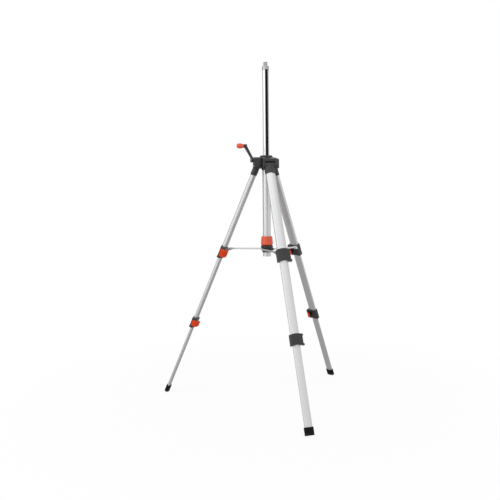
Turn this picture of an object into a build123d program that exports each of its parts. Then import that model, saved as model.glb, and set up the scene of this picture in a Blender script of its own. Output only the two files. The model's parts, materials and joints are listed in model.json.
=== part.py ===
from build123d import *
from math import acos, cos, pi, radians, sin, sqrt, tan
import os

# Laser level tripod: three telescoping legs, a sliding brace and a cranked column with a threaded stud.
# Millimetres, +Z up. The origin is on the floor, plumb below the stud. The front leg points along -Y.
leg_azimuths = {"front": -90.0, "right": 30.0, "left": 150.0}

# Stance of the legs
leg_splay = 23.2
pivot_radius = 36.0
pivot_height = 909.6
floor_cut = 0.7

# Oval leg section: crowned outwards and, less, towards the column, each tube set in from the one around it
tube_width = 36.0
tube_depth = 21.0
crown_rise = 7.0
back_rise = 5.5
back_corner = 5.0
front_corner = 6.0
least_corner = 0.5
tube_wall = 1.3
tube_gap = 0.7
lower_tube_gap = 0.9

# Places along a leg, measured down from its pivot
socket_length = 38.5
socket_wall = 2.0
socket_arch = 3.0
tube_seat = 16.0
upper_collar_top = 337.5
upper_collar_height = 48.5
lower_collar_top = 648.0
lower_collar_height = 42.5
collar_guide = 14.0
collar_wall = 2.0
collar_side = 4.0
collar_crown = 4.0
collar_front_corner = 6.0
collar_back_corner = 3.0
collar_arch = 3.0
collar_round = 0.8
middle_overlap = 60.0
lower_overlap = 66.0
shoe_height = 14.0
shoe_plug = 12.0
foot_length = 27.0
foot_wall = 3.0
foot_sole = 11.0
foot_round = 2.2

# Flip levers on the collars
top_flange = 9.0
top_flange_back = 12.0
low_flange = 7.0
low_flange_back = 6.0
top_flange_reach = 8.0
low_flange_reach = 9.0
flange_front = 8.3
flange_round = 2.0
lever_wall_reach = 4.8
lever_wall_round = 1.5
pad_back = 7.0
lever_pin_radius = 1.0
lever_pin_out = 5.2
lever_pin_front = 2.5
lever_half = 1.9
lever_run = 9.5
lever_curl_radius = 9.0
lever_curl = 60.0
lever_tail = 14.0
lever_bevel = 7.0
lever_round = 0.8

# Head
cheek_thickness = 7.0
cheek_lip = 11.0
cheek_round = 4.0
head_rise = 30.4
head_drop = 10.0
head_slope = 6.0
head_round = 5.0
boss_radius = 24.5
boss_neck = 7.0
boss_neck_wall = 2.8
pivot_pin_radius = 4.0
pivot_pin_head = 6.5
pivot_pin_cap = 1.5
cap_radius = 25.5
cap_height = 8.0
cap_spigot = 4.0
cap_spigot_radius = 20.0
cap_rim = 3.2
cap_step = 1.4
cap_round = 3.5

# Column, rack and sleeve
column_radius = 12.0
column_wall = 1.5
column_reach = 322.0
column_engaged = 63.0
rack_width = 10.2
rack_rail = 0.7
rack_back = 7.0
rack_stand = 0.4
rack_end_gap = 3.0
column_collar_radius = 13.4
column_collar_height = 14.0
column_collar_bevel = 0.8
column_plug_height = 6.0
column_plug_depth = 10.0
stud_radius = 7.94
stud_length = 16.0
stud_tip = 1.5
stud_root = 8.0
stud_root_radius = 8.3
sleeve_radius = 15.0
sleeve_wall = 1.5
sleeve_seat = 18.0
sleeve_stub = 16.0
bush_height = 24.0

# Crank gear
gear_module = 1.25
pinion_teeth = 12
pressure_angle = 25.0
tooth_backlash = 0.3
root_clearance = 0.4
pinion_width = 8.0
shaft_radius = 4.0
shaft_rise = 20.4
shaft_inner_end = 14.0
housing_reach = 55.0
housing_width = 17.0
housing_drop = 27.0
housing_head = 10.0
housing_round = 8.0
cover_thickness = 2.0
screw_radius = 1.5
screw_head = 2.8
screw_head_height = 1.6
screw_depth = 9.0
screw_edge = 3.4
crank_hub_radius = 10.2
crank_hub_width = 8.5
crank_out = 26.2
crank_up = 51.0
arm_width = 9.5
arm_thickness = 12.0
arm_boss = 7.0
arm_round = 1.5
arm_base_rise = 5.5
knob_axle_radius = 3.0
knob_length = 25.5
knob_neck = 5.5
knob_belly = 10.0
knob_nose = 7.5
knob_belly_place = 0.6
knob_round = 2.5
knob_axle_end = 5.0

# Brace: hub and clamp nut on the sleeve, three struts beside the legs
strut_thickness = 2.5
strut_height = 6.5
strut_eye_inset = 26.0
strut_eye_drop = 1.0
strut_pin_radius = 1.8
rivet_radius = 3.0
rivet_cap = 1.5
bracket_thickness = 2.2
bracket_width = 18.0
bracket_height = 12.0
bracket_drop = 3.5
bracket_eye = 4.3
hub_pin_radial = 12.0
hub_pin_depth = 6.0
hub_radius = 23.5
hub_core = 18.0
hub_flange_low = 4.0
hub_flange_high = 15.5
hub_bevel = 3.0
hub_foot = 12.0
lug_radius = 5.0
neck_radius = 17.6
neck_height = 24.0
neck_slits = 4
neck_slit_width = 2.0
nut_radius = 23.4
nut_top_radius = 21.9
nut_height = 34.5
nut_bevel = 3.5
nut_flutes = 14
nut_flute_radius = 2.0
nut_flute_depth = 0.9

# Clearances
part_gap = 0.3
running_gap = 0.06
column_gap = 0.08
hub_gap = 0.15

# Derived places
splay = radians(leg_splay)
cap_top = pivot_height + head_rise + cap_height
head_top = pivot_height + head_rise
head_bottom = pivot_height - head_drop
shaft_height = pivot_height + shaft_rise
housing_middle = shaft_height + (housing_head - housing_drop) / 2
pitch_radius = gear_module * pinion_teeth / 2
tooth_pitch = pi * gear_module
addendum = gear_module
dedendum = gear_module + root_clearance
pitch_line = -(column_radius + rack_stand - addendum)
shaft_y = pitch_line - pitch_radius
tip_radius = pitch_radius + addendum
collar_top_z = cap_top + column_reach + column_collar_height
column_top = cap_top + column_reach
column_bottom = cap_top - column_engaged
sleeve_top = pivot_height + sleeve_seat - head_drop
sleeve_bore = sleeve_radius - sleeve_wall
middle_inset = tube_wall + tube_gap
lower_inset = middle_inset + tube_wall + lower_tube_gap
upper_tube_end = upper_collar_top + upper_collar_height - collar_guide
middle_tube_end = lower_collar_top + lower_collar_height - collar_guide
middle_tube_top = upper_tube_end - middle_overlap
lower_tube_top = middle_tube_end - lower_overlap
foot_inset = lower_inset - foot_wall
foot_half_depth = tube_depth / 2 - foot_inset
edge_lift = foot_round * (sin(splay) + cos(splay) - 1)
leg_length = (pivot_height + floor_cut + edge_lift - foot_half_depth * sin(splay)) / cos(splay)
foot_top = leg_length - foot_length
lower_tube_end = leg_length - foot_sole
flank = tube_width / 2 + collar_side
strut_inner_face = flank + part_gap
strut_outer_face = strut_inner_face + strut_thickness
eye_along = upper_collar_top + strut_eye_drop
eye_radial = pivot_radius + eye_along * sin(splay) - strut_eye_inset * cos(splay)
strut_z = pivot_height - eye_along * cos(splay) - strut_eye_inset * sin(splay)
sleeve_bottom = strut_z - hub_foot - sleeve_stub
socket_half_width = tube_width / 2 + socket_wall
socket_half_depth = tube_depth / 2 + socket_wall
gap_half_width = socket_half_width + part_gap
gap_radius = socket_half_depth + 2 * part_gap
cheek_half_width = gap_half_width + cheek_thickness
cheek_radius = pivot_radius + cheek_lip
cover_face = -housing_reach - cover_thickness
crank_hub_face = cover_face - screw_head_height - part_gap
screw_across = housing_width - 2 * screw_edge
screw_apart = housing_head + housing_drop - 2 * screw_edge
crank_x = crank_hub_face - crank_hub_width / 2
knob_z = shaft_height + crank_up
arm_end_x = crank_x - crank_out
knob_base_x = arm_end_x - arm_thickness / 2 - part_gap
knob_end_x = knob_base_x - knob_length

os.makedirs("parts", exist_ok=True)


def save(builder, name):
    """Labels a finished piece and writes it under its own name."""
    builder.part.label = name
    export_step(builder.part, f"parts/{name}.step")


def outward(azimuth):
    """Unit vector from the column towards a leg, level."""
    return Vector(cos(radians(azimuth)), sin(radians(azimuth)), 0)


def sideways(azimuth):
    """Unit vector across a leg, counter-clockwise seen from above."""
    return Vector(-sin(radians(azimuth)), cos(radians(azimuth)), 0)


def down_leg(azimuth):
    """Unit vector down a leg."""
    return outward(azimuth) * sin(splay) - Vector(0, 0, cos(splay))


def leg_plane(azimuth, along):
    """Plane square to a leg: x across it, y out of its crowned face, z down it."""
    pivot = outward(azimuth) * pivot_radius + Vector(0, 0, pivot_height)
    return Plane(origin=pivot + down_leg(azimuth) * along, x_dir=sideways(azimuth), z_dir=down_leg(azimuth))


def flank_plane(azimuth, across):
    """Plane along a leg's flank, at the given place across it: x out of the crowned face, y down the leg."""
    square = leg_plane(azimuth, 0)
    return Plane(origin=square.from_local_coords((across, 0, 0)), x_dir=square.y_dir, z_dir=square.x_dir)


def face_plane(azimuth):
    """Plane along a leg through its pivot, facing its crowned side: x across the leg, y down it."""
    square = leg_plane(azimuth, 0)
    return Plane(origin=square.origin, x_dir=square.x_dir, z_dir=square.y_dir * -1)


def radial_plane(azimuth, across):
    """Upright plane along a leg's azimuth: x outwards, y up, at the given place across the leg."""
    return Plane(origin=sideways(azimuth) * across, x_dir=outward(azimuth), z_dir=sideways(azimuth) * -1)


def bow(rise, inset):
    """Depth of a crown's arc at the flanks of the section that is set in by the given amount."""
    radius = ((tube_width / 2) ** 2 + rise**2) / (2 * rise) - inset
    return radius - sqrt(radius**2 - (tube_width / 2 - inset) ** 2)


def leg_outline(inset):
    """Face of the oval section, set in evenly from the outer tube's surface."""
    half = tube_width / 2 - inset
    crown = tube_depth / 2 - inset
    shoulder = crown - bow(crown_rise, inset)
    heel = bow(back_rise, inset) - crown
    with BuildSketch() as outline:
        with BuildLine():
            Line((-half, shoulder), (-half, heel))
            ThreePointArc((-half, heel), (0, -crown), (half, heel))
            Line((half, heel), (half, shoulder))
            ThreePointArc((half, shoulder), (0, crown), (-half, shoulder))
        make_face()
        fillet(outline.vertices().group_by(Axis.Y)[0], max(back_corner - inset, least_corner))
        fillet(outline.vertices().group_by(Axis.Y)[-1], max(front_corner - inset, least_corner))
    return outline.sketch


def collar_outline(tube_inset):
    """Face of a collar round a tube: wider than the tube, crowned outwards and flat at the back."""
    half = tube_width / 2 - tube_inset + collar_side
    crown = tube_depth / 2 - tube_inset + collar_wall
    shoulder = crown - collar_crown
    with BuildSketch() as outline:
        with BuildLine():
            Polyline((-half, shoulder), (-half, -crown), (half, -crown), (half, shoulder))
            ThreePointArc((half, shoulder), (0, crown), (-half, shoulder))
        make_face()
        fillet(outline.vertices().group_by(Axis.Y)[0], collar_back_corner)
        fillet(outline.vertices().group_by(Axis.Y)[-1], collar_front_corner)
    return outline.sketch


def column_passage(gap):
    """Opening that lets the column and its rack slide: a circle with a keyway on the rack's side."""
    keyway = column_radius + rack_stand + gap
    with BuildSketch() as passage:
        Circle(column_radius + gap)
        with Locations((0, -keyway / 2)):
            Rectangle(rack_width + 2 * gap, keyway)
    return passage.sketch


def tooth_flank(radius, half_angle):
    """Point of an involute flank at a radius; half_angle is half the tooth's angle at the pitch circle."""
    base = pitch_radius * cos(radians(pressure_angle))
    rolled = acos(base / radius)
    pitch_rolled = radians(pressure_angle)
    angle = half_angle + (tan(pitch_rolled) - pitch_rolled) - (tan(rolled) - rolled)
    return (radius * sin(angle), radius * cos(angle))


# Leg sections used by the nested tubes
upper_outer = leg_outline(0)
upper_inner = leg_outline(tube_wall)
middle_outer = leg_outline(middle_inset)
middle_inner = leg_outline(middle_inset + tube_wall)
lower_outer = leg_outline(lower_inset)
lower_inner = leg_outline(lower_inset + tube_wall)

# Head body: boss, three clevises and the crank housing, bored for the column, sleeve, shaft and pins
with BuildPart() as head_body:
    with BuildSketch(Plane.XY.offset(head_bottom)):
        Circle(boss_radius)
    extrude(amount=head_top - head_bottom)
    for azimuth in leg_azimuths.values():
        with BuildPart(mode=Mode.PRIVATE) as clevis:
            with BuildSketch(radial_plane(azimuth, 0)) as cheek:
                with BuildLine():
                    Polyline(
                        (0, head_bottom),
                        (cheek_radius, head_bottom),
                        (cheek_radius, head_top - head_slope),
                        (boss_radius, head_top),
                        (0, head_top),
                        close=True,
                    )
                make_face()
                fillet(cheek.vertices().group_by(Axis.X)[-1], head_round)
            extrude(amount=cheek_half_width, both=True)
            with BuildSketch(Plane(origin=(0, 0, head_bottom), x_dir=outward(azimuth), z_dir=(0, 0, 1))):
                RectangleRounded(2 * cheek_radius, 2 * cheek_half_width, cheek_round)
            extrude(amount=head_top - head_bottom, mode=Mode.INTERSECT)
        add(clevis.part)
    with BuildSketch(Plane.YZ.offset(-housing_reach)):
        with Locations((shaft_y, housing_middle)):
            RectangleRounded(housing_width, housing_head + housing_drop, housing_round)
    extrude(amount=housing_reach)
    for azimuth in leg_azimuths.values():
        with BuildSketch(radial_plane(azimuth, 0)):
            with Locations((pivot_radius, pivot_height)):
                Circle(gap_radius)
                Rectangle(
                    gap_radius + 2 * cheek_lip,
                    2 * head_drop + gap_radius,
                    align=(Align.MIN, Align.MAX),
                )
                Rectangle(gap_radius, 2 * head_drop + gap_radius, align=(Align.MAX, Align.MAX))
                Rectangle(gap_radius + 2 * cheek_lip, gap_radius, align=(Align.MIN, Align.MIN))
        extrude(amount=gap_half_width, both=True, mode=Mode.SUBTRACT)
        with BuildSketch(radial_plane(azimuth, 0)):
            with Locations((pivot_radius, pivot_height)):
                Circle(pivot_pin_radius)
        extrude(amount=cheek_half_width, both=True, mode=Mode.SUBTRACT)
    with BuildSketch(Plane.XY.offset(sleeve_top)):
        add(column_passage(part_gap))
    extrude(amount=cap_top - sleeve_top, mode=Mode.SUBTRACT)
    with BuildSketch(Plane.XY.offset(head_bottom - boss_neck)):
        Circle(sleeve_radius + boss_neck_wall)
    extrude(amount=boss_neck)
    with BuildSketch(Plane.XY.offset(head_bottom - boss_neck)):
        Circle(sleeve_radius)
    extrude(amount=sleeve_top - head_bottom + boss_neck, mode=Mode.SUBTRACT)
    with BuildSketch(Plane.XY.offset(head_top - cap_spigot)):
        Circle(cap_spigot_radius)
    extrude(amount=cap_spigot, mode=Mode.SUBTRACT)
    with BuildSketch(Plane.YZ):
        with Locations((shaft_y, shaft_height)):
            Circle(tip_radius + 2 * part_gap)
    extrude(amount=pinion_width / 2 + 2 * part_gap, both=True, mode=Mode.SUBTRACT)
    with BuildSketch(Plane.YZ.offset(-housing_reach)):
        with Locations((shaft_y, shaft_height)):
            Circle(shaft_radius + running_gap)
    extrude(amount=housing_reach + shaft_inner_end + part_gap, mode=Mode.SUBTRACT)
    with BuildSketch(Plane.YZ.offset(-housing_reach)):
        with Locations((shaft_y, housing_middle)):
            with GridLocations(screw_across, screw_apart, 2, 2):
                Circle(screw_radius)
    extrude(amount=screw_depth, mode=Mode.SUBTRACT)
save(head_body, "head_body")

# Dome cap that guides the column at the top of the head
with BuildPart() as head_cap:
    with BuildSketch(Plane.XY.offset(head_top - cap_spigot)):
        Circle(cap_spigot_radius)
    extrude(amount=cap_spigot)
    with BuildSketch(Plane.XY.offset(head_top)):
        Circle(cap_radius)
    extrude(amount=cap_rim)
    with BuildSketch(Plane.XY.offset(head_top + cap_rim)):
        Circle(cap_radius - cap_step)
    extrude(amount=cap_height - cap_rim)
    fillet(head_cap.faces().sort_by(Axis.Z)[-1].edges(), cap_round)
    with BuildSketch(Plane.XY.offset(head_top - cap_spigot)):
        add(column_passage(column_gap))
    extrude(amount=cap_spigot + cap_height, mode=Mode.SUBTRACT)
    with BuildSketch(Plane.YZ):
        with Locations((shaft_y, shaft_height)):
            Circle(tip_radius + 2 * part_gap)
    extrude(amount=pinion_width / 2 + 2 * part_gap, both=True, mode=Mode.SUBTRACT)
save(head_cap, "head_cap")

# Pivot pins of the legs, riveted through the cheeks
with BuildPart() as leg_pivot_pins:
    for azimuth in leg_azimuths.values():
        with BuildSketch(radial_plane(azimuth, 0)):
            with Locations((pivot_radius, pivot_height)):
                Circle(pivot_pin_radius)
        extrude(amount=cheek_half_width, both=True)
        for side in (-1, 1):
            with BuildSketch(radial_plane(azimuth, side * cheek_half_width)):
                with Locations((pivot_radius, pivot_height)):
                    Circle(pivot_pin_head)
            extrude(amount=-side * pivot_pin_cap)
save(leg_pivot_pins, "leg_pivot_pins")

# Cover plate on the crank housing and its screws
with BuildPart() as housing_cover:
    with BuildSketch(Plane.YZ.offset(cover_face)):
        with Locations((shaft_y, housing_middle)):
            RectangleRounded(housing_width, housing_head + housing_drop, housing_round)
            with GridLocations(screw_across, screw_apart, 2, 2):
                Circle(screw_radius, mode=Mode.SUBTRACT)
        with Locations((shaft_y, shaft_height)):
            Circle(shaft_radius + part_gap, mode=Mode.SUBTRACT)
    extrude(amount=cover_thickness)
save(housing_cover, "housing_cover")

with BuildPart() as cover_screws:
    with BuildSketch(Plane.YZ.offset(cover_face)):
        with Locations((shaft_y, housing_middle)):
            with GridLocations(screw_across, screw_apart, 2, 2):
                Circle(screw_radius)
    extrude(amount=cover_thickness + screw_depth)
    with BuildSketch(Plane.YZ.offset(cover_face)):
        with Locations((shaft_y, housing_middle)):
            with GridLocations(screw_across, screw_apart, 2, 2):
                Circle(screw_head)
    extrude(amount=-screw_head_height)
save(cover_screws, "cover_screws")

# Fixed sleeve tube below the head, with the split bush that guides the column inside it
with BuildPart() as sleeve_tube:
    with BuildSketch(Plane.XY.offset(sleeve_bottom)):
        Circle(sleeve_radius)
        Circle(sleeve_bore, mode=Mode.SUBTRACT)
    extrude(amount=sleeve_top - sleeve_bottom)
save(sleeve_tube, "sleeve_tube")

with BuildPart() as guide_bush:
    with BuildSketch(Plane.XY.offset(sleeve_top - bush_height)):
        Circle(sleeve_bore)
        add(column_passage(column_gap), mode=Mode.SUBTRACT)
        Rectangle(
            rack_width + 2 * column_gap, sleeve_bore, align=(Align.CENTER, Align.MAX), mode=Mode.SUBTRACT
        )
    extrude(amount=bush_height)
save(guide_bush, "guide_bush")

# Column tube, slotted along its front for the rack
rack_bottom = column_bottom + rack_end_gap + column_plug_depth
with BuildPart() as column_tube:
    with BuildSketch(Plane.XY.offset(column_bottom)):
        Circle(column_radius)
        Circle(column_radius - column_wall, mode=Mode.SUBTRACT)
    extrude(amount=column_top - column_bottom)
    with BuildSketch(Plane.XY.offset(rack_bottom)):
        with Locations((0, -rack_back)):
            Rectangle(rack_width, column_radius, align=(Align.CENTER, Align.MAX))
    extrude(amount=column_top - rack_bottom, mode=Mode.SUBTRACT)
save(column_tube, "column_tube")

# Rack: straight-sided teeth in mesh with the pinion, one gap centred at the shaft's height
with BuildPart() as column_rack:
    slant = tan(radians(pressure_angle))
    tip_y = pitch_line - addendum
    root_y = pitch_line + dedendum
    half_tooth = tooth_pitch / 4
    half_tip = half_tooth - addendum * slant
    half_root = half_tooth + dedendum * slant
    first = int((rack_bottom + half_root - shaft_height) / tooth_pitch - 0.5) + 1
    last = int((column_top - half_root - shaft_height) / tooth_pitch - 0.5)
    centres = [shaft_height + (number + 0.5) * tooth_pitch for number in range(first, last + 1)]
    outline = [(-rack_back, rack_bottom), (root_y, rack_bottom)]
    for centre in centres:
        outline += [(root_y, centre - half_root), (tip_y, centre - half_tip)]
        outline += [(tip_y, centre + half_tip), (root_y, centre + half_root)]
    outline += [(root_y, column_top), (-rack_back, column_top)]
    with BuildSketch(Plane.YZ.offset(-rack_width / 2)):
        with BuildLine():
            Polyline(outline, close=True)
        make_face()
    extrude(amount=rack_width)
    with BuildSketch(Plane.XY.offset(rack_bottom)):
        with GridLocations(rack_width - rack_rail, 0, 2, 1):
            with Locations((0, -rack_back)):
                Rectangle(
                    rack_rail, column_radius + rack_stand - rack_back, align=(Align.CENTER, Align.MAX)
                )
    extrude(amount=column_top - rack_bottom)
save(column_rack, "column_rack")

# Top collar of the column with the instrument's seat
with BuildPart() as column_collar:
    with BuildSketch(Plane.XY.offset(column_top)):
        Circle(column_collar_radius)
    extrude(amount=column_collar_height)
    chamfer(column_collar.edges().filter_by(GeomType.CIRCLE), column_collar_bevel)
    with BuildSketch(Plane.XY.offset(column_top - column_plug_depth)):
        Circle(column_radius - column_wall)
        with Locations((0, -rack_back)):
            Rectangle(rack_width, column_radius, align=(Align.CENTER, Align.MAX), mode=Mode.SUBTRACT)
    extrude(amount=column_plug_depth)
    with BuildSketch(Plane.XY.offset(collar_top_z - stud_root)):
        Circle(stud_root_radius)
    extrude(amount=stud_root, mode=Mode.SUBTRACT)
save(column_collar, "column_collar")

with BuildPart() as stud:
    with BuildSketch(Plane.XY.offset(collar_top_z)):
        Circle(stud_radius)
    extrude(amount=stud_length)
    chamfer(stud.faces().sort_by(Axis.Z)[-1].edges(), stud_tip)
    with BuildSketch(Plane.XY.offset(collar_top_z - stud_root)):
        Circle(stud_root_radius)
    extrude(amount=stud_root)
save(stud, "stud")

# Piston that keeps the column's foot centred in the sleeve
with BuildPart() as column_plug:
    with BuildSketch(Plane.XY.offset(column_bottom - column_plug_height)):
        Circle(sleeve_bore - hub_gap)
    extrude(amount=column_plug_height)
    with BuildSketch(Plane.XY.offset(column_bottom)):
        Circle(column_radius - column_wall)
    extrude(amount=column_plug_depth)
save(column_plug, "column_plug")

# Crank shaft and its pinion, a tooth pointing at the rack's middle gap
with BuildPart() as crank_shaft:
    with BuildSketch(Plane.YZ.offset(crank_hub_face - crank_hub_width)):
        with Locations((shaft_y, shaft_height)):
            Circle(shaft_radius)
    extrude(amount=shaft_inner_end - crank_hub_face + crank_hub_width)
save(crank_shaft, "crank_shaft")

with BuildPart() as pinion:
    base_radius = pitch_radius * cos(radians(pressure_angle))
    root_radius = pitch_radius - dedendum
    half_angle = (tooth_pitch / 2 - tooth_backlash) / 2 / pitch_radius
    foot_point = tooth_flank(base_radius, half_angle)
    pitch_point = tooth_flank(pitch_radius, half_angle)
    tip_point = tooth_flank(tip_radius, half_angle)
    root_scale = root_radius / base_radius * cos(half_angle)
    root_point = (foot_point[0] * root_scale, foot_point[1] * root_scale)
    with BuildSketch(Plane.YZ.offset(-pinion_width / 2)):
        with Locations((shaft_y, shaft_height)):
            Circle(root_radius)
            with PolarLocations(0, pinion_teeth):
                with BuildSketch(mode=Mode.PRIVATE) as tooth:
                    with BuildLine():
                        ThreePointArc(foot_point, pitch_point, tip_point)
                        Line(tip_point, (-tip_point[0], tip_point[1]))
                        ThreePointArc(
                            (-tip_point[0], tip_point[1]),
                            (-pitch_point[0], pitch_point[1]),
                            (-foot_point[0], foot_point[1]),
                        )
                        Line((-foot_point[0], foot_point[1]), (-root_point[0], root_point[1]))
                        Line((-root_point[0], root_point[1]), root_point)
                        Line(root_point, foot_point)
                    make_face()
                add(tooth.sketch, rotation=-90)
            Circle(shaft_radius, mode=Mode.SUBTRACT)
    extrude(amount=pinion_width)
save(pinion, "pinion")

# Dog-leg crank arm: hub on the shaft, boss under the knob
with BuildPart() as crank_arm:
    with BuildSketch(Plane.YZ.offset(crank_hub_face)):
        with Locations((shaft_y, shaft_height)):
            Circle(crank_hub_radius)
    extrude(amount=-crank_hub_width)
    with BuildSketch(Plane.XZ.offset(-shaft_y - arm_width / 2)):
        with BuildLine():
            Polyline(
                (crank_hub_face - crank_hub_width, shaft_height + arm_base_rise),
                (crank_hub_face, shaft_height + arm_base_rise),
                (arm_end_x + arm_thickness / 2, knob_z),
                (arm_end_x - arm_thickness / 2, knob_z),
                close=True,
            )
        make_face()
    extrude(amount=arm_width)
    fillet(crank_arm.edges().group_by(SortBy.LENGTH)[-1], arm_round)
    with BuildSketch(Plane.YZ.offset(arm_end_x + arm_thickness / 2)):
        with Locations((shaft_y, knob_z)):
            Circle(arm_boss)
    extrude(amount=-arm_thickness)
    with BuildSketch(Plane.YZ.offset(crank_hub_face)):
        with Locations((shaft_y, shaft_height)):
            Circle(shaft_radius)
    extrude(amount=-arm_thickness, both=True, mode=Mode.SUBTRACT)
    with BuildSketch(Plane.YZ.offset(arm_end_x + arm_thickness / 2)):
        with Locations((shaft_y, knob_z)):
            Circle(knob_axle_radius)
    extrude(amount=-arm_thickness, mode=Mode.SUBTRACT)
save(crank_arm, "crank_arm")

with BuildPart() as knob_axle:
    with BuildSketch(Plane.YZ.offset(arm_end_x + arm_thickness / 2)):
        with Locations((shaft_y, knob_z)):
            Circle(knob_axle_radius)
    extrude(amount=knob_end_x + knob_axle_end - arm_end_x - arm_thickness / 2)
save(knob_axle, "knob_axle")

# Pear-shaped knob, turning on its axle
with BuildPart() as crank_knob:
    with BuildSketch(Plane.XZ.offset(-shaft_y)):
        with BuildLine():
            Line((knob_base_x, knob_z), (knob_base_x, knob_z + knob_neck))
            Spline(
                (knob_base_x, knob_z + knob_neck),
                (knob_base_x - knob_length * knob_belly_place, knob_z + knob_belly),
                (knob_end_x, knob_z + knob_nose),
            )
            Line((knob_end_x, knob_z + knob_nose), (knob_end_x, knob_z))
            Line((knob_end_x, knob_z), (knob_base_x, knob_z))
        make_face()
    revolve(axis=Axis((knob_base_x, shaft_y, knob_z), (1, 0, 0)))
    fillet(crank_knob.faces().sort_by(Axis.X)[0].edges(), knob_round)
    with BuildSketch(Plane.YZ.offset(knob_base_x)):
        with Locations((shaft_y, knob_z)):
            Circle(knob_axle_radius + running_gap)
    extrude(amount=-(knob_length - knob_axle_end + part_gap), mode=Mode.SUBTRACT)
save(crank_knob, "crank_knob")


def make_tube(name, azimuth, outer, inner, start, end):
    """Straight length of leg tube between two places along the leg."""
    with BuildPart() as tube:
        with BuildSketch(leg_plane(azimuth, start)):
            add(outer)
            add(inner, mode=Mode.SUBTRACT)
        extrude(amount=end - start)
    save(tube, name)


def make_shoe(name, azimuth, bore_inset, plug_inset, tube_top):
    """Glide at the top of a sliding tube: a head that fills the tube around it and a plug in its own tube."""
    with BuildPart() as shoe:
        with BuildSketch(leg_plane(azimuth, tube_top - shoe_height)):
            add(leg_outline(bore_inset + part_gap))
        extrude(amount=shoe_height)
        with BuildSketch(leg_plane(azimuth, tube_top)):
            add(leg_outline(plug_inset))
        extrude(amount=shoe_plug)
    save(shoe, name)


def make_socket(name, azimuth):
    """Leg socket: round tongue on the pivot pin, sleeve for the upper tube, arched lower edge."""
    with BuildPart() as socket:
        with BuildSketch(leg_plane(azimuth, 0)):
            add(leg_outline(-socket_wall))
        extrude(amount=socket_length)
        with BuildSketch(flank_plane(azimuth, 0)):
            Circle(socket_half_depth)
        extrude(amount=socket_half_width, both=True)
        with BuildSketch(leg_plane(azimuth, tube_seat)):
            add(upper_outer)
        extrude(amount=socket_length - tube_seat, mode=Mode.SUBTRACT)
        with BuildSketch(flank_plane(azimuth, 0)):
            Circle(pivot_pin_radius + running_gap)
        extrude(amount=socket_half_width, both=True, mode=Mode.SUBTRACT)
        with BuildSketch(face_plane(azimuth)):
            with BuildLine():
                ThreePointArc(
                    (-socket_half_width, socket_length),
                    (0, socket_length - socket_arch),
                    (socket_half_width, socket_length),
                )
                Line((-socket_half_width, socket_length), (socket_half_width, socket_length))
            make_face()
        extrude(amount=2 * socket_half_depth, both=True, mode=Mode.SUBTRACT)
    save(socket, name)


def make_collar(name, azimuth, top, height, tube_inset, guide_inset):
    """Clamp collar: seat for one tube, guide for the next, and flanges, pad and wall round the lever."""
    side = tube_width / 2 - tube_inset + collar_side
    top_end = side + top_flange_reach
    low_end = side + low_flange_reach
    pad_end = side + lever_pin_out - lever_half - part_gap
    lever_front = lever_pin_front + lever_half + part_gap
    bottom = top + height
    with BuildPart() as collar:
        with BuildSketch(leg_plane(azimuth, top)):
            add(collar_outline(tube_inset))
        extrude(amount=height)
        for start, thickness, out, back, corner in (
            (top, top_flange, top_end, -top_flange_back, flange_round),
            (top, height, pad_end, -pad_back, flange_round),
            (top, height, side + lever_wall_reach, lever_front, lever_wall_round),
            (bottom - low_flange, low_flange, low_end, -low_flange_back, flange_round),
        ):
            with BuildSketch(leg_plane(azimuth, start)):
                with Locations((out, flange_front)):
                    RectangleRounded(out, flange_front - back, corner, align=(Align.MAX, Align.MAX))
            extrude(amount=thickness)
        with BuildSketch(face_plane(azimuth)):
            with BuildLine():
                ThreePointArc(
                    (-side, bottom),
                    (low_flange_reach / 2, bottom - collar_arch),
                    (low_end, bottom),
                )
                Line((-side, bottom), (low_end, bottom))
            make_face()
            with BuildLine():
                ThreePointArc(
                    (-side, top + collar_arch),
                    (top_flange_reach / 2, top),
                    (top_end, top + collar_arch),
                )
                Polyline(
                    (top_end, top + collar_arch),
                    (top_end, top - collar_arch),
                    (-side, top - collar_arch),
                    (-side, top + collar_arch),
                )
            make_face()
        extrude(amount=tube_depth, both=True, mode=Mode.SUBTRACT)
        fillet(collar.faces().sort_by(Axis((0, 0, 0), down_leg(azimuth)))[0].edges(), collar_round)
        with BuildSketch(leg_plane(azimuth, top + top_flange)):
            with Locations((side + lever_pin_out, lever_pin_front)):
                Circle(lever_pin_radius)
        extrude(amount=height - top_flange - low_flange)
        with BuildSketch(leg_plane(azimuth, top - height)):
            add(leg_outline(tube_inset))
        extrude(amount=2 * height - collar_guide, mode=Mode.SUBTRACT)
        with BuildSketch(leg_plane(azimuth, top)):
            add(leg_outline(guide_inset - part_gap))
        extrude(amount=height, mode=Mode.SUBTRACT)
    save(collar, name)


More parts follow.
